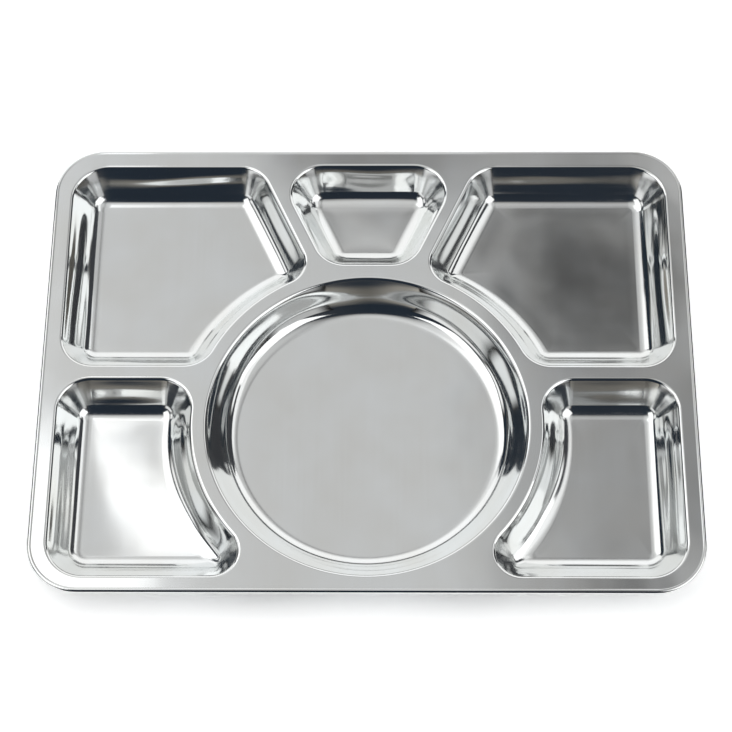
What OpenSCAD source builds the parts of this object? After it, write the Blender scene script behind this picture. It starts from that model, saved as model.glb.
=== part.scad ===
// Divided plate with six wells, pressed from one sheet of stainless steel with a rolled edge.
// The origin is under the middle of the plate, on the plane that the well floors rest on.
// X runs along the plate, Y towards its rear edge, and Z up. Sizes are in millimetres.

/* [Plate] */
// Length of the plate, left to right
plate_l = 400; // [385:1:430]
// Width of the plate, front to rear
plate_w = 298.6; // [292:0.2:320]
// Radius of the plate's own corners, seen from above
plate_corner_r = 31; // [26:0.5:33]
// Thickness of the sheet
sheet_t = 0.6; // [0.4:0.05:0.9]

/* [Rolled edge] */
// Outside radius of the roll
roll_r = 1.8; // [1.6:0.1:2.6]
// How far the edge is rolled round, in degrees
roll_turn = 250; // [180:5:270]
// Slope at which the flat top rises into the roll, in degrees
roll_rise = 18; // [5:1:25]
// Radius of the bend where it starts to rise
neck_r = 2; // [1:0.1:3]

/* [Well section] */
// Depth of every well, from the flat top to its floor
well_depth = 19.7; // [16:0.1:22]
// Slope of the well walls, in degrees above the floor
wall_slope = 55; // [52:1:62]
// Radius of the bend at the head of a wall
lip_r = 2.8; // [1.5:0.1:3.5]
// Radius of the blend at the foot of a wall
foot_r = 11; // [8:0.5:13]

/* [Layout of the wells] */
// From the plate's left and right edges to the wells
side_margin = 9.9; // [8:0.1:12]
// From the plate's rear edge to the rear side wells
rear_margin = 11.1; // [8:0.1:12]
// From the plate's rear edge to the middle well
middle_margin = 10; // [8:0.1:12]
// From the plate's front edge to the front side wells
front_margin = 8.6; // [8:0.1:12]
// From the plate's front edge to the round well
round_margin = 9.2; // [8:0.1:12]
// Radius of the round well at its head
round_r = 99.1; // [95:0.1:101]
// Flat web between the round well and the side wells
web = 6.1; // [5:0.1:9]
// Flat web between the round well and the middle well
middle_web = 6.9; // [5:0.1:9]
// Flat webs that lean, between the middle well and the rear side wells
lean_web = 5.5; // [4:0.1:9]
// Flat web between the rear and the front side wells
cross_web = 6.1; // [4:0.1:9]
// How far the middle of the cross web lies in front of the plate's middle
cross_y = 8; // [2:0.1:14]
// Half the distance between the two leaning webs, level with the rear of the rear side wells
lean_x = 65.3; // [63:0.1:70]
// Lean of these webs, in degrees from the front-to-rear direction
lean = 25; // [22:0.5:27]
// Radius of the well corners that follow the plate's corners
outer_corner_r = 24; // [22:0.5:28]
// Radius of the other well corners
inner_corner_r = 21.5; // [20:0.5:24]
// Radius of the pointed well corners beside the round well
tip_r = 17.5; // [15:0.5:20]
// Least radius of the well corners, which they come down to at the floor
floor_corner_r = 2; // [1.5:0.1:4]

/* [Hidden] */
$fn = 96;

// Steps in each bend of a section, in a corner seen from above, and along the ring
lip_steps = 3;
foot_steps = 5;
neck_steps = 2;
roll_steps = 6;
turn_steps = 6;
ring_steps = 8;

// Heights of the flat top and of the well floors
floor_z = sheet_t;
top_z = floor_z + well_depth;

// From a well's head to its flat floor, and the flat that a bent strip keeps at each end
wall_run = well_depth / tan(wall_slope) + (lip_r + foot_r) * tan(wall_slope / 2);
flat = 0.9;

// Lines that the heads of the wells keep to
left_x = side_margin - plate_l / 2;
rear_y = plate_w / 2 - rear_margin;
middle_rear_y = plate_w / 2 - middle_margin;
front_y = front_margin - plate_w / 2;
rear_side_y = cross_web / 2 - cross_y;
front_side_y = -cross_web / 2 - cross_y;

// The round well, and the ring about it that the side wells keep to
round_c = [0, round_margin - plate_w / 2 + round_r];
ring_r = round_r + web;
middle_front_y = round_c[1] + round_r + middle_web;

// Where the two edges of the left leaning web meet the rear of the wells beside it
lean_gap = lean_web / 2 / cos(lean);
lean_left = [-lean_x - lean_gap, rear_y];
lean_right = [-lean_x + lean_gap - (middle_rear_y - rear_y) * tan(lean), middle_rear_y];

function unit(a) = [cos(a), sin(a)];
function angle_of(v) = atan2(v[1], v[0]);
function positive(a) = a - 360 * floor(a / 360);
function reversed(list) = [for (i = [len(list) - 1:-1:0]) list[i]];
function rest_of(list) = [for (i = [1:len(list) - 1]) list[i]];

// A section is a list of [inset from the head or the edge, height].
// Points of a bend in a section, between two slopes of the sheet
function bend(c, r, from, to, steps) = [
    for (i = [0:steps])
        let (a = from + (to - from) * i / steps)
        c + r * [sin(a), cos(a)]
];

// A well's wall runs from the flat top over the lip, down the slope and round the foot to the floor.
// One face of the sheet lies sheet_t below the other.
function wall_face(below) = concat(
    [[-flat, top_z - below]],
    bend([0, top_z - lip_r], lip_r - below, 0, wall_slope, lip_steps),
    bend([wall_run, floor_z + foot_r], foot_r + below, 180 + wall_slope, 180, foot_steps),
    [[wall_run + flat, floor_z - below]]
);
wall_section = concat(wall_face(0), reversed(wall_face(sheet_t)));

// The edge of the sheet rises a little from the flat top, then turns out, down and back under it.
edge_flat = roll_r + (roll_r + neck_r) * sin(roll_rise);
neck_c = [edge_flat, top_z + neck_r];
roll_c = neck_c - (roll_r + neck_r) * [sin(roll_rise), cos(roll_rise)];
function roll_face(below) = concat(
    [[edge_flat + flat, top_z - below]],
    bend(neck_c, neck_r + below, 180, 180 + roll_rise, neck_steps),
    rest_of(bend(roll_c, roll_r - below, roll_rise, -90, roll_steps)),
    rest_of(bend(roll_c, roll_r - below, -90, -roll_turn, roll_steps))
);
roll_section = concat(roll_face(0), reversed(roll_face(sheet_t)));

// An outline is a list of corners [centre, radius, link to the next corner], anticlockwise.
// A link is a straight "line" or an arc of the "ring".
function next_of(outline, i) = outline[(i + 1) % len(outline)];
function last_of(outline, i) = outline[(i + len(outline) - 1) % len(outline)];

// Direction out of the outline along the line from one corner to the next
function line_angle(p, q) = angle_of(q[0] - p[0]) - acos((p[1] - q[1]) / norm(q[0] - p[0]));

// Directions out of a corner where it starts and ends. Beside the ring they face its middle.
function start_angle(outline, i, c) =
    let (last = last_of(outline, i))
    last[2] == "ring" ? angle_of(round_c - c) : line_angle(last, outline[i]);
function end_angle(outline, i, c) =
    outline[i][2] == "ring" ? angle_of(round_c - c) : line_angle(outline[i], next_of(outline, i));

// Where the inset of a corner comes to a point, between two lines or between a line and the ring
function line_mitre(outline, i, inset) =
    let (p = outline[i], start = start_angle(outline, i, p[0]))
    let (half = positive(end_angle(outline, i, p[0]) - start) / 2)
    p[0] + (p[1] - inset) / cos(half) * unit(start + half);
function ring_mitre(outline, i, inset) =
    let (p = outline[i], from = p[0] - round_c)
    let (out = unit(p[2] == "ring" ? start_angle(outline, i, p[0]) : end_angle(outline, i, p[0])))
    let (along = [-out[1], out[0]])
    let (s = from * out + p[1] - inset)
    round_c + s * out + sign(from * along) * sqrt(pow(ring_r + inset, 2) - s * s) * along;
function mitre(outline, i, inset) =
    outline[i][2] == "ring" || last_of(outline, i)[2] == "ring"
        ? ring_mitre(outline, i, inset)
        : line_mitre(outline, i, inset);

// A corner a given inset inside an outline: its radius shrinks with the inset, down to floor_corner_r.
function inset_r(outline, i, inset) = max(outline[i][1] - inset, floor_corner_r);
function inset_c(outline, i, inset) = mitre(outline, i, inset + inset_r(outline, i, inset));

// Points a given inset inside an outline, some part of the way round a corner or along the ring
function corner_point(outline, i, part, inset) =
    let (c = inset_c(outline, i, inset), start = start_angle(outline, i, c))
    let (sweep = positive(end_angle(outline, i, c) - start))
    c + inset_r(outline, i, inset) * unit(start + sweep * part);
function ring_point(outline, i, part, inset) =
    let (from = angle_of(inset_c(outline, i, inset) - round_c))
    let (to = angle_of(inset_c(outline, (i + 1) % len(outline), inset) - round_c))
    round_c + (ring_r + inset) * unit(from - positive(from - to) * part);

// Stations round an outline are [corner, part of the way, whether on the ring after it].
function stations(outline) = [
    for (i = [0:len(outline) - 1])
        each concat(
            [for (k = [0:turn_steps]) [i, k / turn_steps, false]],
            outline[i][2] == "ring" ? [for (k = [1:ring_steps - 1]) [i, k / ring_steps, true]] : []
        )
];
function inside(outline, station, inset) =
    station[2]
        ? ring_point(outline, station[0], station[1], inset)
        : corner_point(outline, station[0], station[1], inset);
function inset_points(outline, inset) = [for (s = stations(outline)) inside(outline, s, inset)];

// Centre of a left-hand corner that touches the ring, at a given height in the plan
function beside_ring(r, y) = [-sqrt(pow(ring_r + r, 2) - pow(y - round_c[1], 2)), y];

// Centre of the left-hand corner that touches the ring and the leaning web
function tip_centre(r) =
    let (facing = 180 + lean)
    let (reach = (r - (round_c - lean_left) * unit(facing)) / (ring_r + r))
    round_c + (ring_r + r) * unit(facing - acos(reach));

rear_side = [
    [[left_x + outer_corner_r, rear_y - outer_corner_r], outer_corner_r, "line"],
    [[left_x + inner_corner_r, rear_side_y + inner_corner_r], inner_corner_r, "line"],
    [beside_ring(inner_corner_r, rear_side_y + inner_corner_r), inner_corner_r, "ring"],
    [tip_centre(tip_r), tip_r, "line"],
    [lean_left - inner_corner_r * [(1 - sin(lean)) / cos(lean), 1], inner_corner_r, "line"]
];

front_side = [
    [[left_x + inner_corner_r, front_side_y - inner_corner_r], inner_corner_r, "line"],
    [[left_x + outer_corner_r, front_y + outer_corner_r], outer_corner_r, "line"],
    [beside_ring(tip_r, front_y + tip_r), tip_r, "ring"],
    [beside_ring(inner_corner_r, front_side_y - inner_corner_r), inner_corner_r, "line"]
];

// Left-hand centres of the middle well's corners
middle_rear_c = lean_right + inner_corner_r * [(1 + sin(lean)) / cos(lean), -1];
middle_length = middle_rear_y - middle_front_y - inner_corner_r;
middle_front_c = [
    lean_right[0] + (inner_corner_r + middle_length * sin(lean)) / cos(lean),
    middle_front_y + inner_corner_r
];
middle = [
    [middle_rear_c, inner_corner_r, "line"],
    [middle_front_c, inner_corner_r, "line"],
    [[-middle_front_c[0], middle_front_c[1]], inner_corner_r, "line"],
    [[-middle_rear_c[0], middle_rear_c[1]], inner_corner_r, "line"]
];

edge_x = plate_l / 2 - plate_corner_r;
edge_y = plate_w / 2 - plate_corner_r;
edge = [
    [[-edge_x, edge_y], plate_corner_r, "line"],
    [[-edge_x, -edge_y], plate_corner_r, "line"],
    [[edge_x, -edge_y], plate_corner_r, "line"],
    [[edge_x, edge_y], plate_corner_r, "line"]
];

// The drawn wall of a well: its section carried round the outline
module drawn_wall(outline) {
    stops = stations(outline);
    n = len(wall_section);
    polyhedron(
        points = [
            for (s = stops)
                for (p = wall_section)
                    let (q = inside(outline, s, p[0]))
                    [q[0], q[1], p[1]]
        ],
        faces = [
            for (i = [0:len(stops) - 1])
                for (k = [0:n - 1])
                    let (here = i * n, there = (i + 1) % len(stops) * n, up = (k + 1) % n)
                    each [[here + k, here + up, there + k], [here + up, there + up, there + k]]
        ]
    );
}

// A wall or a floor of the sheet ends in the middle of the flat strip that it shares with the next.
module well(outline) {
    drawn_wall(outline);
    linear_extrude(sheet_t)
        polygon(inset_points(outline, wall_run + flat / 2));
}

module round_well() {
    translate(round_c) {
        rotate_extrude()
            polygon([for (p = wall_section) [round_r - p[0], p[1]]]);
        cylinder(h = sheet_t, r = round_r - wall_run - flat / 2);
    }
}

module rolled_edge() {
    for (i = [0:3]) {
        corner = edge[i];
        next = next_of(edge, i);
        out = line_angle(corner, next);
        translate(corner[0])
            rotate_extrude(angle = 90, start = out - 90)
                polygon([for (p = roll_section) [plate_corner_r - p[0], p[1]]]);
        translate(corner[0] + plate_corner_r * unit(out))
            rotate([90, 0, out + 180])
                linear_extrude(norm(next[0] - corner[0]))
                    polygon(roll_section);
    }
}

// The flat top between the wells, inside the rolled edge
module flat_top() {
    translate([0, 0, top_z - sheet_t])
        linear_extrude(sheet_t)
            difference() {
                polygon(inset_points(edge, edge_flat + flat / 2));
                translate(round_c)
                    circle(round_r + flat / 2);
                polygon(inset_points(middle, -flat / 2));
                for (side = [0, 1])
                    mirror([side, 0])
                        for (outline = [rear_side, front_side])
                            polygon(inset_points(outline, -flat / 2));
            }
}

// The whole sheet, pressed and rolled
module tray() {
    color([0.77, 0.78, 0.78]) {
        flat_top();
        rolled_edge();
        round_well();
        well(middle);
        for (side = [0, 1])
            mirror([side, 0, 0]) {
                well(rear_side);
                well(front_side);
            }
    }
}

tray();
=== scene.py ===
import math

import bpy
import numpy as np
from mathutils import Matrix
from mathutils.geometry import delaunay_2d_cdt


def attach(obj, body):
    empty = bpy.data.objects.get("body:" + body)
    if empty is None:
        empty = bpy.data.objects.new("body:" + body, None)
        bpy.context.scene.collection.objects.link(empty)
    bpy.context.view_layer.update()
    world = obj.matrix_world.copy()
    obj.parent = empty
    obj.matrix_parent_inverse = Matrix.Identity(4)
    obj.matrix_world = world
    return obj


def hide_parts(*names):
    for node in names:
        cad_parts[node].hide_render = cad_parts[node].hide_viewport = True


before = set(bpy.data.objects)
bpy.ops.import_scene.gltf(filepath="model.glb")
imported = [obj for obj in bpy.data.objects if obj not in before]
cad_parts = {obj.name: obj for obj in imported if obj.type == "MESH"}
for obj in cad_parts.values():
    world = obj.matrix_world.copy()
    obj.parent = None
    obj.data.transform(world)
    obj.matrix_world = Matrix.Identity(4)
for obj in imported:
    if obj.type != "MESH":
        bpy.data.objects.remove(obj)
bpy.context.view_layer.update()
print("frame loaded")

# Sizes of the pressed sheet in millimetres, angles in degrees, and the steps that its bends are drawn with.
sheet = {
    "length": 400.0,
    "width": 298.6,
    "edgeCorner": 31.0,  # radius of the plate's own corners
    "thickness": 0.6,
    "rollRadius": 1.8,
    "rollTurn": 250.0,  # how far the edge is rolled round
    "rollRise": 18.0,  # slope at which the flat top rises into the roll
    "neck": 2.0,  # radius of the bend where it starts to rise
    "depth": 19.7,
    "slope": 55.0,
    "lip": 2.8,  # radius of the bend at the head of a wall
    "foot": 11.0,  # radius of the blend at its foot
    "sideMargin": 9.9,  # margins run from the plate's edge to the head of a well
    "rearMargin": 11.1,
    "middleMargin": 10.0,
    "frontMargin": 8.6,
    "roundMargin": 9.2,
    "roundRadius": 99.1,
    "web": 6.1,  # webs are the flats between wells
    "middleWeb": 6.9,
    "leanWeb": 5.5,
    "crossWeb": 6.1,
    "crossY": 8.0,  # how far the cross web lies in front of the middle
    "leanX": 65.3,  # half the distance between the leaning webs, at the rear
    "lean": 25.0,
    "outerCorner": 24.0,  # radii of the wells' corners
    "innerCorner": 21.5,
    "tip": 17.5,
    "leastCorner": 2.0,  # what they come down to at the floor
    "flat": 0.9,  # the flat that a bent strip keeps at each end
    "dish": 0.8,  # slope of a floor at its rim
    "dishReach": 0.4,  # share of the way to the middle where it ends
    "floorRings": (0.08, 0.18, 0.3, 0.45, 0.7),
    "turnSteps": 14,
    "ringSteps": 30,
    "lineSteps": 8,
    "roundSteps": 224,
    "lipSteps": 7,
    "slopeSteps": 12,
    "footSteps": 12,
    "neckSteps": 4,
    "rollSteps": 18,
}
millimetre = 0.001

topZ = sheet["thickness"] + sheet["depth"]
floorZ = sheet["thickness"]
slopeAngle = math.radians(sheet["slope"])
leanAngle = math.radians(sheet["lean"])
bends = sheet["lip"] + sheet["foot"]
wallRun = sheet["depth"] / math.tan(slopeAngle) + bends * math.tan(slopeAngle / 2)
leftX = sheet["sideMargin"] - sheet["length"] / 2
rearY = sheet["width"] / 2 - sheet["rearMargin"]
middleRearY = sheet["width"] / 2 - sheet["middleMargin"]
frontY = sheet["frontMargin"] - sheet["width"] / 2
rearSideY = sheet["crossWeb"] / 2 - sheet["crossY"]
frontSideY = -sheet["crossWeb"] / 2 - sheet["crossY"]
roundCentre = np.array([0.0, sheet["roundMargin"] - sheet["width"] / 2 + sheet["roundRadius"]])
ringRadius = sheet["roundRadius"] + sheet["web"]
middleFrontY = roundCentre[1] + sheet["roundRadius"] + sheet["middleWeb"]
leanGap = sheet["leanWeb"] / 2 / math.cos(leanAngle)
leanLeft = np.array([-sheet["leanX"] - leanGap, rearY])
leanShift = (middleRearY - rearY) * math.tan(leanAngle)
leanRight = np.array([-sheet["leanX"] + leanGap - leanShift, middleRearY])


def unit(angle):
    return np.stack([np.cos(angle), np.sin(angle)], axis=-1)


def angleOf(v):
    return np.arctan2(v[..., 1], v[..., 0])


def corner(x, y, radius, link="line"):
    return {"centre": np.array([x, y], float), "radius": radius, "link": link}


def besideRing(radius, y):
    return -math.sqrt((ringRadius + radius) ** 2 - (y - roundCentre[1]) ** 2)


def tipCentre(radius):
    facing = math.pi + leanAngle
    reach = (radius - (roundCentre - leanLeft) @ unit(facing)) / (ringRadius + radius)
    return roundCentre + (ringRadius + radius) * unit(facing - math.acos(reach))


def lineAngle(p, q):
    run = q["centre"] - p["centre"]
    return float(angleOf(run)) - math.acos((p["radius"] - q["radius"]) / np.linalg.norm(run))


# Outlines are anticlockwise corners, each with its link to the next: a line, or an arc of the ring.
outer, inner, tip = sheet["outerCorner"], sheet["innerCorner"], sheet["tip"]
leanCorner = leanLeft - inner * np.array([(1 - math.sin(leanAngle)) / math.cos(leanAngle), 1])
rearSide = [
    corner(leftX + outer, rearY - outer, outer),
    corner(leftX + inner, rearSideY + inner, inner),
    corner(besideRing(inner, rearSideY + inner), rearSideY + inner, inner, "ring"),
    corner(*tipCentre(tip), tip),
    corner(*leanCorner, inner),
]
frontSide = [
    corner(leftX + inner, frontSideY - inner, inner),
    corner(leftX + outer, frontY + outer, outer),
    corner(besideRing(tip, frontY + tip), frontY + tip, tip, "ring"),
    corner(besideRing(inner, frontSideY - inner), frontSideY - inner, inner),
]
middleRear = leanRight + inner * np.array([(1 + math.sin(leanAngle)) / math.cos(leanAngle), -1])
middleLength = middleRearY - middleFrontY - inner
middleFrontX = leanRight[0] + (inner + middleLength * math.sin(leanAngle)) / math.cos(leanAngle)
middle = [
    corner(*middleRear, inner),
    corner(middleFrontX, middleFrontY + inner, inner),
    corner(-middleFrontX, middleFrontY + inner, inner),
    corner(-middleRear[0], middleRear[1], inner),
]
edgeX = sheet["length"] / 2 - sheet["edgeCorner"]
edgeY = sheet["width"] / 2 - sheet["edgeCorner"]
edge = [corner(side * edgeX, end * edgeY, sheet["edgeCorner"])
        for side, end in ((-1, 1), (-1, -1), (1, -1), (1, 1))]


# A corner at every inset: its centre lies radius + inset inside both links.
# The radius shrinks with the inset to a least value.
def cornerAt(outline, i, inset):
    own, before, after = outline[i], outline[i - 1], outline[(i + 1) % len(outline)]
    radius = np.maximum(own["radius"] - inset, sheet["leastCorner"])
    sunk = inset + radius
    start = None if before["link"] == "ring" else lineAngle(before, own)
    end = None if own["link"] == "ring" else lineAngle(own, after)
    if start is not None and end is not None:
        half = ((end - start) % (2 * math.pi)) / 2
        centre = own["centre"] + ((own["radius"] - sunk) / math.cos(half))[:, None] * unit(start + half)
    else:
        out = unit(end if start is None else start)
        along = np.array([-out[1], out[0]])
        reach = own["centre"] - roundCentre
        s = reach @ out + own["radius"] - sunk
        across = np.sign(reach @ along) * np.sqrt((ringRadius + sunk) ** 2 - s ** 2)
        centre = roundCentre + s[:, None] * out + across[:, None] * along
    toRing = angleOf(roundCentre - centre)
    start = toRing if start is None else np.full(len(inset), start)
    end = toRing if end is None else np.full(len(inset), end)
    return centre, radius, start, (end - start) % (2 * math.pi)


# Points of an outline at every inset, and the direction out of it: arrays of stations by insets by 2.
def carry(outline, inset):
    corners = [cornerAt(outline, i, inset) for i in range(len(outline))]
    points, outs = [], []
    for i, (centre, radius, start, sweep) in enumerate(corners):
        angle = start + sweep * np.linspace(0, 1, sheet["turnSteps"] + 1)[:, None]
        points.append(centre + radius[:, None] * unit(angle))
        outs.append(unit(angle))
        nextCentre, nextRadius, nextStart, _ = corners[(i + 1) % len(corners)]
        if outline[i]["link"] == "ring":
            part = np.linspace(0, 1, sheet["ringSteps"] + 1)[1:-1, None]
            begin = angleOf(centre - roundCentre)
            turn = (begin - angleOf(nextCentre - roundCentre)) % (2 * math.pi)
            angle = begin - turn * part
            points.append(roundCentre + (ringRadius + inset)[:, None] * unit(angle))
            outs.append(-unit(angle))
        else:
            part = np.linspace(0, 1, sheet["lineSteps"] + 1)[1:-1, None, None]
            first = points[-1][-1]
            last = nextCentre + nextRadius[:, None] * unit(nextStart)
            points.append(first + (last - first) * part)
            outs.append(np.broadcast_to(outs[-1][-1], points[-1].shape))
    return np.concatenate(points), np.concatenate(outs)


def carryRound(inset):
    angle = np.linspace(0, 2 * math.pi, sheet["roundSteps"], endpoint=False)[:, None] + 0 * inset
    return roundCentre + (sheet["roundRadius"] - inset)[:, None] * unit(angle), unit(angle)


# Section of a wall: flat top, lip bend, straight slope, foot blend, floor; insets, heights and slopes.
def wallSection():
    lip, foot, flat = sheet["lip"], sheet["foot"], sheet["flat"]
    lipTurn = np.linspace(0, slopeAngle, sheet["lipSteps"] + 1)
    footTurn = np.linspace(slopeAngle, 0, sheet["footSteps"] + 1)
    lipD, lipZ = lip * np.sin(lipTurn), topZ - lip + lip * np.cos(lipTurn)
    footD, footZ = wallRun - foot * np.sin(footTurn), floorZ + foot - foot * np.cos(footTurn)
    part = np.linspace(0, 1, sheet["slopeSteps"] + 1)[1:-1]
    midD = lipD[-1] + (footD[0] - lipD[-1]) * part
    midZ = lipZ[-1] + (footZ[0] - lipZ[-1]) * part
    inset = np.concatenate([[-flat], lipD, midD, footD, [wallRun + flat]])
    height = np.concatenate([[topZ], lipZ, midZ, footZ, [floorZ]])
    slope = np.concatenate([[0], lipTurn, 0 * part + slopeAngle, footTurn, [0]])
    return inset, height, slope


# Grid of vertices from carried points: stations by rows.
# Its unit normals lean into the well by the slope.
def gridOf(points, outs, height, slope):
    rise = np.broadcast_to(height, points.shape[:2])[..., None]
    lean = np.broadcast_to(slope, points.shape[:2])[..., None]
    return np.concatenate([points, rise], -1), np.concatenate([-np.sin(lean) * outs, np.cos(lean)], -1)


# Quads of a grid that closes on itself along its stations.
def quadsOf(stations, rows, first):
    here = first + np.arange(stations)[:, None] * rows + np.arange(rows - 1)
    there = np.roll(here, -1, axis=0)
    return np.stack([here, there, there + 1, here + 1], -1).reshape(-1, 4)


def insideOf(points, loop):
    a, b = loop, np.roll(loop, -1, axis=0)
    px, py = points[:, None, 0], points[:, None, 1]
    crosses = (a[:, 1] > py) != (b[:, 1] > py)
    step = np.where(b[:, 1] == a[:, 1], 1e-9, b[:, 1] - a[:, 1])
    left = px < (b[:, 0] - a[:, 0]) * (py - a[:, 1]) / step + a[:, 0]
    return (crosses & left).sum(1) % 2 == 1


vertexParts, normalParts, flowParts, quadParts, triParts = [], [], [], [], []
shareParts = {"polish": [], "wave": [], "soft": []}


# Vertices with their shares of polish, wave and softness, and their flow. Returns the number of the first.
def addVertices(points, normals, polish, wave=0.0, soft=0.0, flow=(0.0, 0.0, 0.0)):
    first = sum(len(part) for part in vertexParts)
    vertexParts.append(points.reshape(-1, 3))
    normalParts.append(normals.reshape(-1, 3))
    for name, values in (("polish", polish), ("wave", wave), ("soft", soft)):
        shareParts[name].append(np.broadcast_to(values, points.shape[:-1]).reshape(-1))
    flowParts.append(np.broadcast_to(flow, points.shape).reshape(-1, 3))
    return first


# The way along an outline as turns of a circle, and the outline's length.
def wayOf(points):
    loop = points[:, 0]
    step = np.linalg.norm(np.roll(loop, -1, axis=0) - loop, axis=1)
    return 2 * math.pi * (np.cumsum(step) - step[0]) / step.sum(), step.sum()


# A drawn wall isn't quite straight: ripples run along it and drift as they go round.
# Short ones lie on its side, rear and front walls by their shares.
# A long one lies on walls that slant, and all round by the last share.
ripple = {
    "short": {"tilt": 8.0, "pitch": 7.4, "steep": 7.3, "span": (1.5, 3.0, 12.5, 15.5)},
    "long": {"tilt": 10.0, "pitch": 18.0, "steep": 6.8, "span": (1.5, 3.0, 15.0, 18.5)},
    "drifts": ((0.6, 2, 1.7), (0.36, 5, 2.3)),  # size, waves round the outline, shift from well to well
    "swell": (0.25, 3),  # size, waves round the outline
    "slantGain": 6.0,
    "cornerTurn": (0.01, 0.043333),  # turn per millimetre on the ring, and in a corner
    "cornerBlends": 3,
    "cornerCalm": 0.75,
    "shares": {
        "round": (1.0, 0.12, 0.35, 0.0),
        "middle": (0.2, 0.1, 0.1, 0.8),
        "rearLeft": (1.0, 0.6, 0.35, 0.0),
        "rearRight": (1.0, 0.4, 0.35, 0.0),
        "frontLeft": (1.0, 0.3, 0.35, 0.0),
        "frontRight": (1.0, 0.1, 0.35, 0.0),
    },
}


# How far an outline turns at each station: 0 on lines and the ring, 1 in corners.
# Each station is blended with its neighbours.
def bendOf(points, outs):
    loop, out = points[:, 0], outs[:, 0]
    chord = np.linalg.norm(np.roll(loop, -1, axis=0) - np.roll(loop, 1, axis=0), axis=1)
    swing = np.linalg.norm(np.roll(out, -1, axis=0) - np.roll(out, 1, axis=0), axis=1)
    bend = np.interp(swing / chord, ripple["cornerTurn"], (0, 1))
    for _ in range(ripple["cornerBlends"]):
        bend = (np.roll(bend, -1) + bend + np.roll(bend, 1)) / 3
    return bend[:, None]


# Tilt of the section and lift along its normal, as cosine waves over the inset and their integral.
# Slow waves round the outline make them drift.
def rippleOf(points, outs, inset, name):
    side, rear, front, always = ripple["shares"][name]
    turn = wayOf(points)[0][:, None]
    order = len(flowParts)
    drift = sum(size * np.sin(waves * turn + shift * order) for size, waves, shift in ripple["drifts"])
    swellSize, swellWaves = ripple["swell"]
    swell = 1 - swellSize + swellSize * np.sin(swellWaves * turn + order)
    outX, outY = outs[:, :1, 0], outs[:, :1, 1]
    slant = np.clip(ripple["slantGain"] * (outX * outY) ** 2, 0, 1) * (outY > 0)
    short = (1 - slant) * np.interp(outY, (-1, 0, 1), (front, side, rear)) * swell
    calm = 1 - ripple["cornerCalm"] * bendOf(points, outs)
    tilt, lift = 0, 0
    for share, kind in ((short, ripple["short"]), (np.maximum(slant, always), ripple["long"])):
        size = math.radians(kind["tilt"]) * share * calm * np.interp(inset, kind["span"], (0, 1, 1, 0))
        part = 2 * math.pi * (inset - kind["steep"] - drift) / kind["pitch"]
        tilt = tilt + size * np.cos(part)
        lift = lift - size * np.sin(part) * kind["pitch"] / (2 * math.pi * math.cos(slopeAngle))
    return tilt, lift


# The finish along a section, by its slope in radians and its inset in millimetres.
finish = {
    "lipPolish": (0.0, 0.35),  # slopes between which it turns bright
    "footPolish": (0.105, 0.805),
    "neckPolish": (0.0, 0.2),
    "softSlope": 0.22,  # where a foot is softest
    "softWidth": 0.17,
    "cornerSoft": 0.6,
    "cornerSpan": (1.0, 4.0, wallRun, wallRun + 0.5),
    "cornerCalm": 0.5,
    "waveSpan": (0.5, 4.0, 12.0, 19.0),
    "flowShift": 97.0,  # from one well's streaks to the next one's
}


# Shares of polish, wave and softness on a wall: polish and softness go by the slope, the wave by the inset.
# Corners are softer and have less wave.
def finishOf(inset, slope, bend):
    atFoot = inset > wallRun / 2
    lipPolish = np.interp(slope, finish["lipPolish"], (0, 1))
    polish = np.where(atFoot, np.interp(slope, finish["footPolish"], (0, 1)), lipPolish)
    softFoot = np.where(atFoot, np.exp(-((slope - finish["softSlope"]) / finish["softWidth"]) ** 2), 0)
    softCorner = finish["cornerSoft"] * bend * np.interp(inset, finish["cornerSpan"], (0, 1, 1, 0))
    wave = np.interp(inset, finish["waveSpan"], (0, 1, 1, 0)) * (1 - finish["cornerCalm"] * bend)
    return np.broadcast_to(polish, wave.shape), wave, np.maximum(softFoot, softCorner)


# Flow coordinates of a wall: the inset, and the way along the outline wound on a circle of the same length.
def flowOf(points, inset):
    turn, length = wayOf(points)
    way = unit(turn) * length / (2 * math.pi)
    across = np.broadcast_to(inset + finish["flowShift"] * len(flowParts), points.shape[:2])[..., None]
    return np.concatenate([across, np.broadcast_to(way[:, None, :], points.shape)], -1)


# The point that the rings of each floor shrink to, and how its normals lean per millimetre from there:
# floors of thin sheet aren't quite flat.
floors = {
    "round": {"heart": roundCentre, "warp": ((0.00005, 0.0), (0.0, 0.00005))},
    "middle": {"heart": (0.0, 103.0), "warp": ((0.0001, 0.0), (0.0, 0.0001))},
    "rearLeft": {"heart": (-125.0, 75.0), "warp": ((0.0001, 0.00005), (0.0, 0.0001))},
    "rearRight": {"heart": (125.0, 75.0), "warp": ((-0.0001, 0.0001), (0.0001, 0.0))},
    "frontLeft": {"heart": (-146.0, -76.0), "warp": ((-0.0019, -0.0006), (0.00057, 0.0))},
    "frontRight": {"heart": (146.0, -76.0), "warp": ((0.0002, 0.0), (0.0001, 0.0002))},
}


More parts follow.
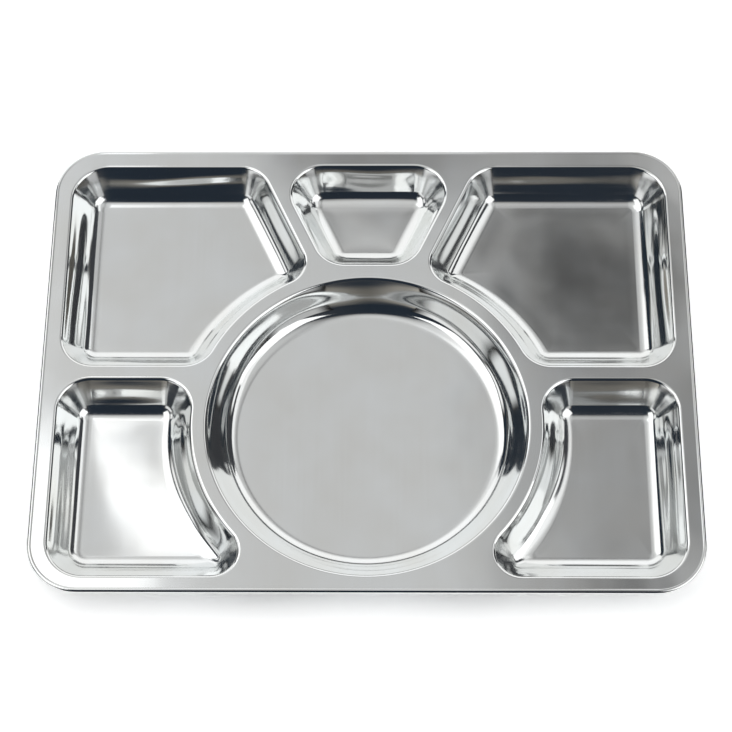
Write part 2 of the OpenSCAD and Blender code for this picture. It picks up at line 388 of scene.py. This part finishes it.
# A well: its wall grid, then rings of floor, a little dished, that shrink to a point.
# Returns the loop of its head.
def addWell(name, points, outs):
    inset, height, slope = wallSection()
    heart, warp = np.array(floors[name]["heart"]), np.transpose(floors[name]["warp"])
    dish = math.radians(sheet["dish"])
    slope[-2:] = dish
    tilt, lift = rippleOf(points, outs, inset, name)
    wall, wallNormals = gridOf(points, outs, height, slope + tilt)
    wall += wallNormals * lift[..., None]
    part = np.array(sheet["floorRings"])
    rim, rimOut = wall[:, -1:, :], outs[:, -1:, :]
    floor = rim + (np.array([*heart, floorZ]) - rim) * part[:, None]
    lean = dish * np.clip(1 - part / sheet["dishReach"], 0, 1)[:, None] ** 2
    up = np.concatenate([-np.sin(lean) * rimOut, np.broadcast_to(np.cos(lean), floor[..., :1].shape)], -1)
    up[..., :2] += (floor[..., :2] - heart) @ warp
    wallNormals[:, -2:, :2] += (wall[:, -2:, :2] - heart) @ warp
    grid = np.concatenate([wall, floor], 1)
    normals = np.concatenate([wallNormals, up], 1)
    normals /= np.linalg.norm(normals, axis=-1, keepdims=True)
    flow = flowOf(points, inset)
    flow = np.concatenate([flow, np.repeat(flow[:, -1:], len(part), axis=1)], 1)
    shares = finishOf(inset, slope, bendOf(points, outs))
    shares = [np.pad(values, ((0, 0), (0, len(part)))) for values in shares]
    stations, rows = grid.shape[:2]
    first = addVertices(grid, normals, *shares, flow)
    quadParts.append(quadsOf(stations, rows, first))
    point = addVertices(np.array([[*heart, floorZ]]), np.array([[0.0, 0, 1]]), 0.0)
    last = first + np.arange(stations) * rows + rows - 1
    triParts.append(np.stack([last, np.roll(last, -1), np.full(stations, point)], -1))
    return first + np.arange(stations) * rows


def mirrored(points, outs):
    flip = np.array([-1.0, 1.0])
    return (points * flip)[::-1], (outs * flip)[::-1]


# The rolled edge: a neck that rises a little, then a circle that turns out, down and back under the flat top.
def addRoll():
    roll, neck, rise = sheet["rollRadius"], sheet["neck"], math.radians(sheet["rollRise"])
    edgeFlat = roll + (roll + neck) * math.sin(rise)
    rollZ = topZ + neck - (roll + neck) * math.cos(rise)
    neckTurn = np.linspace(0, rise, sheet["neckSteps"] + 1)
    turn = np.linspace(rise, -math.radians(sheet["rollTurn"]), sheet["rollSteps"] + 1)[1:]
    neckInset = edgeFlat - neck * np.sin(neckTurn)
    inset = np.concatenate([[edgeFlat + sheet["flat"]], neckInset, roll + roll * np.sin(turn)])
    height = np.concatenate([[topZ], topZ + neck - neck * np.cos(neckTurn), rollZ + roll * np.cos(turn)])
    slope = np.concatenate([[0], neckTurn, turn])
    points, outs = carry(edge, inset)
    grid, normals = gridOf(points, outs, height, slope)
    stations, rows = grid.shape[:2]
    polish = np.concatenate([[0], np.interp(neckTurn, finish["neckPolish"], (0, 1)), np.ones(len(turn))])
    first = addVertices(grid, normals, polish)
    quadParts.append(quadsOf(stations, rows, first)[:, ::-1])
    loop = first + np.arange(stations) * rows
    return loop, loop + rows - 1


inset = wallSection()[0]
wells = {"round": carryRound(inset), "middle": carry(middle, inset)}
for place, outline in (("rear", rearSide), ("front", frontSide)):
    wells[place + "Left"] = carry(outline, inset)
    wells[place + "Right"] = mirrored(*wells[place + "Left"])
headLoops = [addWell(name, *carried) for name, carried in wells.items()]
edgeLoop, endLoop = addRoll()
points = np.concatenate(vertexParts)

# The flat top: triangles between the edge's loop and the heads of the wells.
loops = [edgeLoop] + headLoops
flatIds = np.concatenate(loops)
starts = np.cumsum([0] + [len(loop) for loop in loops])
links = np.concatenate([np.stack([np.arange(a, b), np.roll(np.arange(a, b), -1)], -1)
                        for a, b in zip(starts[:-1], starts[1:])])
filled = delaunay_2d_cdt(points[flatIds, :2].tolist(), links.tolist(), [], 0, 1e-6)
source = np.array([found[0] for found in filled[3]])
triangles = flatIds[source[np.array(filled[2])]]
middles = points[triangles, :2].mean(1)
keep = insideOf(middles, points[edgeLoop, :2])
for loop in headLoops:
    keep &= ~insideOf(middles, points[loop, :2])
triParts.append(triangles[keep])

# The underside is the upper side moved in by the thickness, and a narrow strip closes the end of the roll.
normals = np.concatenate(normalParts)
quads, tris = np.concatenate(quadParts), np.concatenate(triParts)
count = len(points)
allPoints = np.concatenate([points, points - normals * sheet["thickness"]])
allNormals = np.concatenate([normals, -normals])
strip = np.stack([endLoop, endLoop + count, np.roll(endLoop, -1) + count, np.roll(endLoop, -1)], -1)
allQuads = np.concatenate([quads, quads[:, ::-1] + count, strip])
allTris = np.concatenate([tris, tris[:, ::-1] + count])
print("sheet computed", len(allPoints), "points,", 2 * len(allQuads) + len(allTris), "triangles")

mesh = bpy.data.meshes.new("tray")
mesh.from_pydata((allPoints * millimetre).tolist(), [], allQuads.tolist() + allTris.tolist())
mesh.polygons.foreach_set("use_smooth", np.ones(len(mesh.polygons), bool))
loopVertices = np.zeros(len(mesh.loops), np.int32)
mesh.loops.foreach_get("vertex_index", loopVertices)
loopNormals = allNormals[loopVertices]
stripEnd = 4 * len(allQuads)
stripStart = stripEnd - 4 * len(strip)
side = allPoints[strip]
flatNormals = np.cross(side[:, 2] - side[:, 0], side[:, 3] - side[:, 1])
flatNormals /= np.linalg.norm(flatNormals, axis=1, keepdims=True)
loopNormals[stripStart:stripEnd] = np.repeat(flatNormals, 4, axis=0)
for name, parts in shareParts.items():
    values = np.concatenate(parts)
    shares = mesh.attributes.new(name, "FLOAT", "POINT")
    shares.data.foreach_set("value", np.concatenate([values, 0 * values]))
flow = np.concatenate(flowParts)
flowValues = mesh.attributes.new("flow", "FLOAT_VECTOR", "POINT")
flowValues.data.foreach_set("vector", np.concatenate([flow, flow]).ravel())
mesh.update()
mesh.normals_split_custom_set(loopNormals.tolist())
tray = bpy.data.objects.new("tray_sheet", mesh)
bpy.context.scene.collection.objects.link(tray)
print("sheet built")


# A new material, and a function that adds a node to it: sockets by name or number, then the node's settings.
# A socket's value is a number, a colour or the output that feeds it.
def newMaterial(name):
    material = bpy.data.materials.new(name)
    material.use_nodes = True
    tree = material.node_tree
    tree.nodes.clear()

    def add(kind, sockets=None, **settings):
        node = tree.nodes.new("ShaderNode" + kind)
        for setting, value in settings.items():
            setattr(node, setting, value)
        for socket, value in (sockets or {}).items():
            if isinstance(value, bpy.types.NodeSocket):
                tree.links.new(value, node.inputs[socket])
            else:
                node.inputs[socket].default_value = value
        return node

    return material, add


# The finish of the steel. Noise has its scale, per metre or per millimetre of flow along a wall,
# and its detail.
steel = {
    "tints": ((0.745, 0.75, 0.735, 1), (0.79, 0.81, 0.815, 1)),
    "patches": (26.0, 2.0),
    "hairs": ((520.0, 9.0, 40.0), 2.0),
    "hairShare": 0.15,
    "satin": (0.07, 0.12),  # roughness of flats and floors
    "clouds": (22.0, 4.0),
    "bright": (0.045, 0.11),  # roughness of drawn walls and the roll
    "streaks": ((0.9, 0.02, 0.02), 3.0),
    "softer": 0.13,  # added to the roughness of feet and corners
    "dents": (30.0, 1.0),
    "dentStrength": 0.25,
    "waves": ((0.13, 0.012, 0.012), 0.5),
    "bumpDepth": 0.0006,
    "noiseSpan": (0.3, 0.7),
}


def steelMaterial():
    material, add = newMaterial("steel")
    place = add("TexCoord").outputs["Object"]
    flow = add("Attribute", attribute_name="flow").outputs["Vector"]

    def share(name):
        return add("Attribute", attribute_name=name).outputs["Fac"]

    def noise(vector, scale, detail):
        return add("TexNoise", {"Vector": vector, "Scale": scale, "Detail": detail}).outputs["Fac"]

    def stretched(vector, scale, detail):
        scaled = add("VectorMath", {0: vector, 1: scale}, operation="MULTIPLY")
        return noise(scaled.outputs["Vector"], 1.0, detail)

    def spread(value, low, high):
        fromMin, fromMax = steel["noiseSpan"]
        ends = {"Value": value, "From Min": fromMin, "From Max": fromMax, "To Min": low, "To Max": high}
        return add("MapRange", ends).outputs["Result"]

    patches = noise(place, *steel["patches"])
    hairs = stretched(place, *steel["hairs"])
    grain = add("Mix", {"Factor": steel["hairShare"], "A": patches, "B": hairs}).outputs["Result"]
    dark, pale = steel["tints"]
    tint = add("Mix", {"Factor": spread(grain, 0.0, 1.0), "A": dark, "B": pale}, data_type="RGBA")
    satin = spread(noise(place, *steel["clouds"]), *steel["satin"])
    bright = spread(stretched(flow, *steel["streaks"]), *steel["bright"])
    roughness = add("Mix", {"Factor": share("polish"), "A": satin, "B": bright}).outputs["Result"]
    softened = add("Math", {0: share("soft"), 1: steel["softer"], 2: roughness}, operation="MULTIPLY_ADD")
    dents = add("Bump", {
        "Strength": steel["dentStrength"],
        "Distance": steel["bumpDepth"],
        "Height": noise(place, *steel["dents"]),
    })
    waves = add("Bump", {
        "Strength": share("wave"),
        "Distance": steel["bumpDepth"],
        "Height": stretched(flow, *steel["waves"]),
        "Normal": dents.outputs["Normal"],
    })
    shader = add("BsdfPrincipled", {
        "Base Color": tint.outputs["Result"],
        "Metallic": 1.0,
        "Roughness": softened.outputs["Value"],
        "Normal": waves.outputs["Normal"],
    })
    add("OutputMaterial", {"Surface": shader.outputs["BSDF"]})
    return material


tray.data.materials.append(steelMaterial())
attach(tray, "root")
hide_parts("tray")
print("tray in place")


def axesMatrix(side, rise, back, place):
    matrix = Matrix.Identity(4)
    for row in range(3):
        matrix[row] = (side[row], rise[row], back[row], place[row])
    return matrix


# Stage pieces are what the plate mirrors or stands on. The camera sees only the floor.
def stageMesh(name, vertices, faces, material, matrix=Matrix.Identity(4)):
    stagedMesh = bpy.data.meshes.new(name)
    stagedMesh.from_pydata(vertices, [], faces)
    stagedMesh.materials.append(material)
    staged = bpy.data.objects.new(name, stagedMesh)
    bpy.context.scene.collection.objects.link(staged)
    staged.matrix_world = matrix
    staged.visible_camera = name == "floor"


def stagePlane(name, matrix, width, height, material, middleY=0.0):
    x, low, high = width / 2, middleY - height / 2, middleY + height / 2
    corners = [(-x, low, 0), (x, low, 0), (x, high, 0), (-x, high, 0)]
    stageMesh(name, corners, [(0, 1, 2, 3)], material, matrix)


# A grey value by position, eased between the stops.
def rampOf(add, value, stops):
    node = add("ValToRGB", {"Fac": value})
    ramp = node.color_ramp
    ramp.interpolation = "EASE"
    while len(ramp.elements) < len(stops):
        ramp.elements.new(0.5)
    for element, (position, tone) in zip(ramp.elements, stops):
        element.position = position
        element.color = (tone, tone, tone, 1)
    return node.outputs["Color"]


# The floor is white paper. The camera and mirror rays see it brighter than other light does, so it is white
# outside the soft shadow, and it fades to plain white towards its rim. From below it is clear.
paperFloor = {
    "width": 1.3,
    "drop": 0.0004,  # below the underside of the plate
    "tone": 0.9,
    "seenTone": 1.7,
    "fade": (0.36, 0.55),
}


def floorMaterial():
    material, add = newMaterial("floor")
    material.cycles.emission_sampling = "NONE"
    rays = add("LightPath").outputs
    mirrored = add("Math", {0: rays["Is Camera Ray"], 1: rays["Is Glossy Ray"]}, operation="MAXIMUM")
    seen = add("Math", {0: mirrored.outputs["Value"], 1: rays["Is Transmission Ray"]}, operation="MAXIMUM")
    seen = seen.outputs["Value"]
    tone = add("MapRange", {"Value": seen, "To Min": paperFloor["tone"], "To Max": paperFloor["seenTone"]})
    paper = add("BsdfDiffuse", {"Color": tone.outputs["Result"]})
    away = add("VectorMath", {0: add("TexCoord").outputs["Object"]}, operation="LENGTH").outputs["Value"]
    near, far = paperFloor["fade"]
    ends = {"Value": away, "From Min": near, "From Max": far}
    fade = add("MapRange", ends, interpolation_type="SMOOTHSTEP").outputs["Result"]
    share = add("Math", {0: fade, 1: seen}, operation="MULTIPLY").outputs["Value"]
    plain = add("Emission")
    rim = add("MixShader", {"Fac": share, 1: paper.outputs["BSDF"], 2: plain.outputs["Emission"]})
    clear = add("BsdfTransparent")
    below = add("NewGeometry").outputs["Backfacing"]
    sides = add("MixShader", {"Fac": below, 1: rim.outputs["Shader"], 2: clear.outputs["BSDF"]})
    add("OutputMaterial", {"Surface": sides.outputs["Shader"]})
    return material


stagePlane("floor", Matrix.Translation((0, 0, -paperFloor["drop"])), paperFloor["width"], paperFloor["width"],
           floorMaterial())

# The ground that the paper lies on.
ground = {
    "width": 3.8,
    "drop": 0.002,
    "color": (0.9, 0.9, 0.9, 1),
}


def groundMaterial():
    material, add = newMaterial("ground")
    matt = add("BsdfDiffuse", {"Color": ground["color"]})
    add("OutputMaterial", {"Surface": matt.outputs["BSDF"]})
    return material


stagePlane("ground", Matrix.Translation((0, 0, -ground["drop"])), ground["width"], ground["width"],
           groundMaterial())

# A wide soft light over the plate: a lamp over the left front, darker to the right and over the rear middle.
# Across and along have the span in metres, then stops of position and level. Dark spots have a centre, radii
# and a level, and the lamp has a centre and half its sides. Edges are in shares of the radius or side.
overhead = {
    "height": 1.8,
    "size": (3.2, 3.3),
    "middleY": 1.1,
    "gain": 2.0,
    "across": (-0.6, 0.6, (
        (0.0, 0.8), (0.12, 0.67), (0.4, 0.64), (0.59, 0.64), (0.68, 0.44),
        (0.8, 0.36), (0.84, 0.39), (0.88, 0.54), (0.95, 0.56),
    )),
    "along": (-0.6, 2.8, (
        (0.015, 0.2), (0.07, 0.36), (0.13, 0.57), (0.22, 0.6),
        (0.31, 0.52), (0.56, 0.5), (0.67, 0.65), (0.78, 0.85),
    )),
    "dark": (
        ((0.36, 1.0), (0.2, 0.2), 0.45),
        ((0.0, 1.27), (0.24, 0.2), 0.45),
        ((0.5, 0.68), (0.1, 0.24), 0.5),
        ((0.31, 1.01), (0.11, 0.1), 0.55),
        ((0.38, 0.45), (0.08, 0.08), 0.4),
    ),
    "darkEdge": (0.45, 1.1),
    "lamp": ((-0.645, 0.42), (0.3, 0.29)),
    "lampEdge": (1.08, 0.92),
    "lampGlow": 0.8,
}


def overheadMaterial():
    material, add = newMaterial("overhead")
    place = add("TexCoord").outputs["Object"]
    axes = add("SeparateXYZ", {"Vector": place}).outputs

    def combine(a, b, operation):
        return add("Math", {0: a, 1: b}, operation=operation).outputs["Value"]

    def eased(value, fromMin, fromMax, toMin, toMax):
        ends = {"Value": value, "From Min": fromMin, "From Max": fromMax, "To Min": toMin, "To Max": toMax}
        return add("MapRange", ends, interpolation_type="SMOOTHSTEP").outputs["Result"]

    def profile(axis, low, high, stops):
        part = add("MapRange", {"Value": axes[axis], "From Min": low, "From Max": high})
        return rampOf(add, part.outputs["Result"], stops)

    def away(centre, radii):
        shift = add("VectorMath", {0: place, 1: (*centre, 0)}, operation="SUBTRACT")
        shrunk = add("VectorMath", {0: shift.outputs["Vector"], 1: (*radii, 1)}, operation="DIVIDE")
        return shrunk.outputs["Vector"]

    level = combine(profile("X", *overhead["across"]), profile("Y", *overhead["along"]), "MULTIPLY")
    level = combine(level, overhead["gain"], "MULTIPLY")
    for centre, radii, low in overhead["dark"]:
        length = add("VectorMath", {0: away(centre, radii)}, operation="LENGTH").outputs["Value"]
        level = combine(level, eased(length, *overhead["darkEdge"], low, 1.0), "MULTIPLY")
    size = add("VectorMath", {0: away(*overhead["lamp"])}, operation="ABSOLUTE").outputs["Vector"]
    inLamp = add("SeparateXYZ", {"Vector": size}).outputs
    lampX = eased(inLamp["X"], *overhead["lampEdge"], 0.0, overhead["lampGlow"])
    lampY = eased(inLamp["Y"], *overhead["lampEdge"], 0.0, 1.0)
    glow = add("Emission", {"Strength": combine(level, combine(lampX, lampY, "MULTIPLY"), "ADD")})
    add("OutputMaterial", {"Surface": glow.outputs["Emission"]})
    return material


stagePlane("overhead", Matrix.Translation((0, 0, overhead["height"])), *overhead["size"], overheadMaterial(),
           overhead["middleY"])

# Light panels round the plate: place, the point that each faces, width, height, glow, and if it fades.
panels = {
    "rearPaper": ((0, 1.5, 0.88), (0, 0, 0.88), 3.3, 1.34, 1.2, False),
    "lowPaper": ((0, 1.5, 0.36), (0, 0, 0.36), 3.9, 0.3, 1.1, False),
    "rightTop": ((0.89, 0.24, 1.18), (0, 0, 0), 1.1, 0.42, 1.15, False),
    "leftWindow": ((-1.27, -0.95, 0.42), (0, 0, 0), 1.6, 0.75, 1.0, True),
    "rightWindow": ((1.05, -1.2, 0.42), (0, 0, 0), 1.2, 0.75, 0.55, True),
    "leftMid": ((-1.5, 0.04, 0.7), (0, 0, 0), 0.85, 0.55, 1.15, True),
    "rightMid": ((1.5, 0.04, 0.7), (0, 0, 0), 0.85, 0.55, 1.15, True),
    "leftBox": ((-0.9, 0.0, 1.2), (0, 0, 0), 1.75, 0.83, 1.5, False),
    "rightBox": ((1.07, -0.5, 0.92), (0, 0, 0), 1.24, 1.3, 1.5, False),
}


# An even glow, or one that fades over the outer half of the panel.
def panelMaterial(name, width, height, level, fades):
    material, add = newMaterial(name)
    if fades:
        place = add("TexCoord").outputs["Object"]
        size = add("VectorMath", {0: place}, operation="ABSOLUTE").outputs["Vector"]
        axes = add("SeparateXYZ", {"Vector": size}).outputs
        parts = {}
        for i, (axis, half, most) in enumerate((("X", width / 2, level), ("Y", height / 2, 1.0))):
            ends = {"Value": axes[axis], "From Min": half, "From Max": half / 2, "To Max": most}
            parts[i] = add("MapRange", ends, interpolation_type="SMOOTHSTEP").outputs["Result"]
        level = add("Math", parts, operation="MULTIPLY").outputs["Value"]
    glow = add("Emission", {"Strength": level})
    add("OutputMaterial", {"Surface": glow.outputs["Emission"]})
    return material


for name, (place, aim, width, height, level, fades) in panels.items():
    back = np.array(place, float) - np.array(aim, float)
    back /= np.linalg.norm(back)
    side = np.cross((0, 0, 1), back)
    side /= np.linalg.norm(side)
    matrix = axesMatrix(side, np.cross(back, side), back, place)
    stagePlane(name, matrix, width, height, panelMaterial(name, width, height, level, fades))

# The room that the steel mirrors: dark, lighter to the right, with a warm glow low down.
room = {
    "half": 30.0,
    "leftTone": (0.02, 0.028, 0.04, 1),
    "rightTone": (0.06, 0.06, 0.065, 1),
    "toneWay": (0.35, 0.05, 0.0),
    "toneSpan": (-0.05, 0.4),
    "glowTone": (1.0, 0.94, 0.84, 1),
    "glowHeight": (0.18, 0.08),
    "glowAcross": (
        (0.02, 0.1), (0.06, 0.3), (0.2, 0.6), (0.34, 0.3),
        (0.5, 0.15), (0.66, 0.25), (0.8, 0.4), (0.96, 0.1),
    ),
}


def roomMaterial():
    material, add = newMaterial("room")
    material.cycles.emission_sampling = "NONE"
    place = add("TexCoord").outputs["Object"]
    way = add("VectorMath", {0: place}, operation="NORMALIZE").outputs["Vector"]
    axes = add("SeparateXYZ", {"Vector": way}).outputs
    right = add("VectorMath", {0: way, 1: room["toneWay"]}, operation="DOT_PRODUCT").outputs["Value"]
    low, high = room["toneSpan"]
    shade = add("MapRange", {"Value": right, "From Min": low, "From Max": high}).outputs["Result"]
    tone = add("Mix", {"Factor": shade, "A": room["leftTone"], "B": room["rightTone"]}, data_type="RGBA")
    span = add("MapRange", {"Value": axes["X"], "From Min": -1.0}).outputs["Result"]
    across = rampOf(add, span, room["glowAcross"])
    warmed = {"Factor": 1.0, "A": across, "B": room["glowTone"]}
    warm = add("Mix", warmed, data_type="RGBA", blend_type="MULTIPLY")
    top, full = room["glowHeight"]
    horizon = {"Value": axes["Z"], "From Min": top, "From Max": full}
    share = add("MapRange", horizon, interpolation_type="SMOOTHSTEP").outputs["Result"]
    tones = {"Factor": share, "A": tone.outputs["Result"], "B": warm.outputs["Result"]}
    walls = add("Mix", tones, data_type="RGBA").outputs["Result"]
    glow = add("Emission", {"Color": walls})
    add("OutputMaterial", {"Surface": glow.outputs["Emission"]})
    return material


half = room["half"]
roomCorners = [(x, y, z) for x in (-half, half) for y in (-half, half) for z in (-half, half)]
roomFaces = [(0, 1, 3, 2), (4, 6, 7, 5), (0, 4, 5, 1), (2, 3, 7, 6), (0, 2, 6, 4), (1, 5, 7, 3)]
stageMesh("room", roomCorners, roomFaces, roomMaterial())

# Past the floor the camera sees plain white.
world = bpy.data.worlds.new("studio")
bpy.context.scene.world = world
world.use_nodes = True
world.node_tree.nodes["Background"].inputs["Color"].default_value = (1, 1, 1, 1)
print("stage built")

# The camera looks down at the plate from the front, a little turned and rolled. Angles are in radians.
view = {
    "lens": 98.85,
    "sensor": 36.0,
    "farthest": 100.0,
    "distance": 1.22796,
    "elevation": 1.1315,
    "yaw": 0.0284,
    "roll": -0.0248,
    "aim": (-0.0009, -0.0039, 0.0203),
}
camera = bpy.data.cameras.new("camera")
camera.lens = view["lens"]
camera.sensor_width = view["sensor"]
camera.clip_end = view["farthest"]
cameraObject = bpy.data.objects.new("camera", camera)
bpy.context.scene.collection.objects.link(cameraObject)
back = np.array([0, -math.cos(view["elevation"]), math.sin(view["elevation"])])
right = np.array([1.0, 0, 0])
up = np.cross(back, right)
rolledRight = math.cos(view["roll"]) * right + math.sin(view["roll"]) * up
rolledUp = -math.sin(view["roll"]) * right + math.cos(view["roll"]) * up
place = np.array(view["aim"]) + view["distance"] * back
cameraMatrix = axesMatrix(rolledRight, rolledUp, back, place)
cameraObject.matrix_world = Matrix.Rotation(view["yaw"], 4, "Z") @ cameraMatrix
bpy.context.scene.camera = cameraObject
bpy.context.scene.view_settings.view_transform = "Standard"
print("camera placed")
